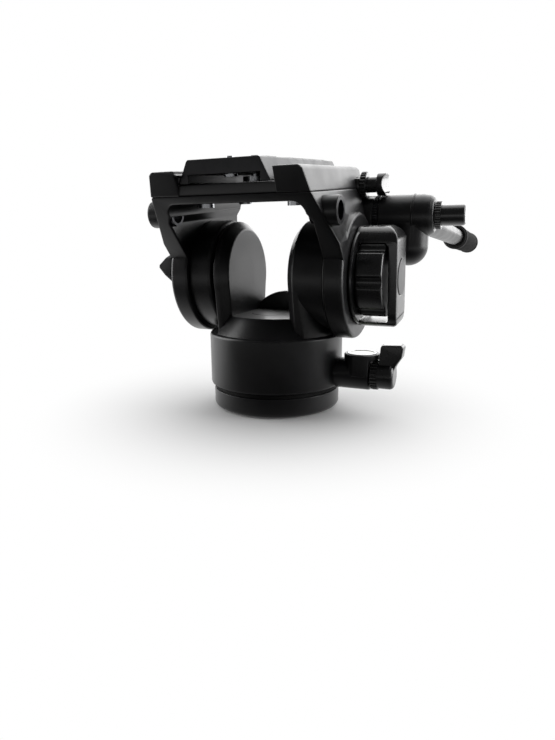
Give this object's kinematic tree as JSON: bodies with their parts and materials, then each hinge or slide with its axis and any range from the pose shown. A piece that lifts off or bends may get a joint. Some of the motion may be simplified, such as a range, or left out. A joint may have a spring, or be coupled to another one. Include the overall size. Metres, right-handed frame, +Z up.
{
  "type": "fluid video head",
  "caption": "Fluid video head: round panning base, forked tilt cradle with drag dial and lock handle, sliding quick-release camera plate, bubble level and rear pan bar.",
  "frame": {"origin": "centre of the base's underside, on the pan axis, at the mouth of the tripod thread", "axes": "+Z up along the pan axis, +X to the right along the tilt axis, +Y to the back along the pan bar; the lens side faces -Y"},
  "size_m": [0.1638, 0.4804, 0.1469],
  "materials": {
    "body_black": "cast aluminium under a fine textured matt black powder coat",
    "dark_steel": "blackened steel",
    "control_black": "satin black moulded plastic",
    "plate_black": "black anodised aluminium",
    "rubber_black": "soft matt black rubber",
    "steel": "bright turned steel",
    "bronze": "plain bearing bronze",
    "damper_grey": "machined aluminium",
    "bar_black": "black anodised tube",
    "white_plastic": "low-friction plastic",
    "level_ring": "satin aluminium",
    "level_green": "tinted level fluid",
    "level_glass": "clear level lens",
    "cap_grey": "satin dark grey plastic"
  },
  "bodies": {
    "base": {"base_plate": "body_black", "thread_insert": "steel", "base_screws": "steel", "pan_spindle": "steel", "spindle_nut": "steel", "thrust_washer": "white_plastic", "pan_damper_cup": "damper_grey", "pan_seal": "rubber_black"},
    "pan": {"pan_fork": "body_black", "pan_bushing": "bronze", "pan_damper_rotor": "damper_grey", "spindle_cover": "body_black", "level_cup": "level_ring", "level_fluid": "level_green", "level_vial": "level_glass", "left_stub_axle": "steel", "right_stub_axle": "steel", "tilt_damper_cup": "damper_grey", "spring_arbor": "steel"},
    "pan_lock": {"pan_lock_knob": "control_black", "pan_lock_screw": "steel"},
    "brake_shoe": {"pan_brake_shoe": "bronze"},
    "cradle": {"cradle": "body_black", "tilt_bushings": "bronze", "tilt_damper_rotor": "damper_grey", "counterbalance_drum": "body_black", "counterbalance_spring": "steel", "accessory_inserts": "dark_steel", "deck": "body_black", "deck_screws": "steel", "clamp_collar": "control_black", "balance_screw": "dark_steel", "arm_rosette": "dark_steel"},
    "tilt_handle": {"tilt_lock_handle": "control_black", "handle_cap": "cap_grey"},
    "drag_dial": {"tilt_drag_dial": "control_black"},
    "balance": {"balance_lever": "cap_grey"},
    "plate_clamp": {"clamp_lever": "control_black"},
    "jaw": {"clamp_jaw": "plate_black"},
    "release": {"release_button": "control_black"},
    "plate": {"camera_plate": "plate_black", "plate_pads": "rubber_black"},
    "camera_screw": {"camera_screw": "steel"},
    "index_pin": {"index_pin": "steel"},
    "pan_handle": {"bar_clamp": "body_black", "pan_bar": "bar_black", "bar_grip": "rubber_black", "grip_end_cap": "control_black"},
    "bar_knob": {"bar_clamp_knob": "control_black", "bar_clamp_screw": "steel"}
  },
  "joints": [
    {"name": "pan_turn", "type": "hinge", "parent": "base", "child": "pan", "pos_m": [0, 0, 0.02], "axis": [0, 0, 1], "continuous": true},
    {"name": "tilt_turn", "type": "hinge", "parent": "pan", "child": "cradle", "pos_m": [0, 0, 0.0781], "axis": [1, 0, 0], "range_deg": [-75, 80]},
    {"name": "pan_lock_turn", "type": "hinge", "parent": "pan", "child": "pan_lock", "pos_m": [0.06, 0, 0.022], "axis": [1, 0, 0], "range_deg": [-90, 0]},
    {"name": "brake_shoe_slide", "type": "slide", "parent": "pan", "child": "brake_shoe", "axis": [1, 0, 0], "range_m": [-0.0005, 0]},
    {"name": "tilt_lock_turn", "type": "hinge", "parent": "cradle", "child": "tilt_handle", "pos_m": [0.052, 0, 0.0781], "axis": [1, 0, 0], "range_deg": [-5, 45]},
    {"name": "drag_dial_turn", "type": "hinge", "parent": "cradle", "child": "drag_dial", "pos_m": [0.055, 0, 0.0781], "axis": [1, 0, 0], "range_deg": [-150, 150]},
    {"name": "balance_turn", "type": "hinge", "parent": "cradle", "child": "balance", "pos_m": [-0.053, 0, 0.0781], "axis": [1, 0, 0], "range_deg": [-60, 30]},
    {"name": "plate_clamp_turn", "type": "hinge", "parent": "cradle", "child": "plate_clamp", "pos_m": [0.05, 0.02445, 0.12912], "axis": [1, 0, 0], "range_deg": [0, 75]},
    {"name": "jaw_slide", "type": "slide", "parent": "cradle", "child": "jaw", "axis": [1, 0, 0], "range_m": [0, 0.002]},
    {"name": "release_slide", "type": "slide", "parent": "cradle", "child": "release", "axis": [1, 0, 0], "range_m": [0, 0.0025], "stiffness_N_per_m": 300},
    {"name": "plate_slide", "type": "slide", "parent": "cradle", "child": "plate", "axis": [0, 0.9962, 0.0872], "range_m": [-0.025, 0.025]},
    {"name": "camera_screw_turn", "type": "hinge", "parent": "plate", "child": "camera_screw", "pos_m": [-0.0011, -0.02451, 0.1403], "axis": [0, -0.0872, 0.9962], "continuous": true},
    {"name": "index_pin_slide", "type": "slide", "parent": "plate", "child": "index_pin", "axis": [0, -0.0872, 0.9962], "range_m": [-0.0011, 0], "stiffness_N_per_m": 300},
    {"name": "pan_bar_swing", "type": "hinge", "parent": "cradle", "child": "pan_handle", "pos_m": [0.056, 0.03112, 0.11134], "axis": [1, 0, 0], "range_deg": [-6, 75]},
    {"name": "bar_knob_turn", "type": "hinge", "parent": "cradle", "child": "bar_knob", "pos_m": [0.09, 0.03112, 0.11134], "axis": [1, 0, 0], "range_deg": [-180, 180]}
  ],
  "couplings": [
    {"joint": "brake_shoe_slide", "follows": "pan_lock_turn", "m_per_rad": 0.00031831},
    {"joint": "jaw_slide", "follows": "plate_clamp_turn", "m_per_rad": 0.0015279}
  ]
}
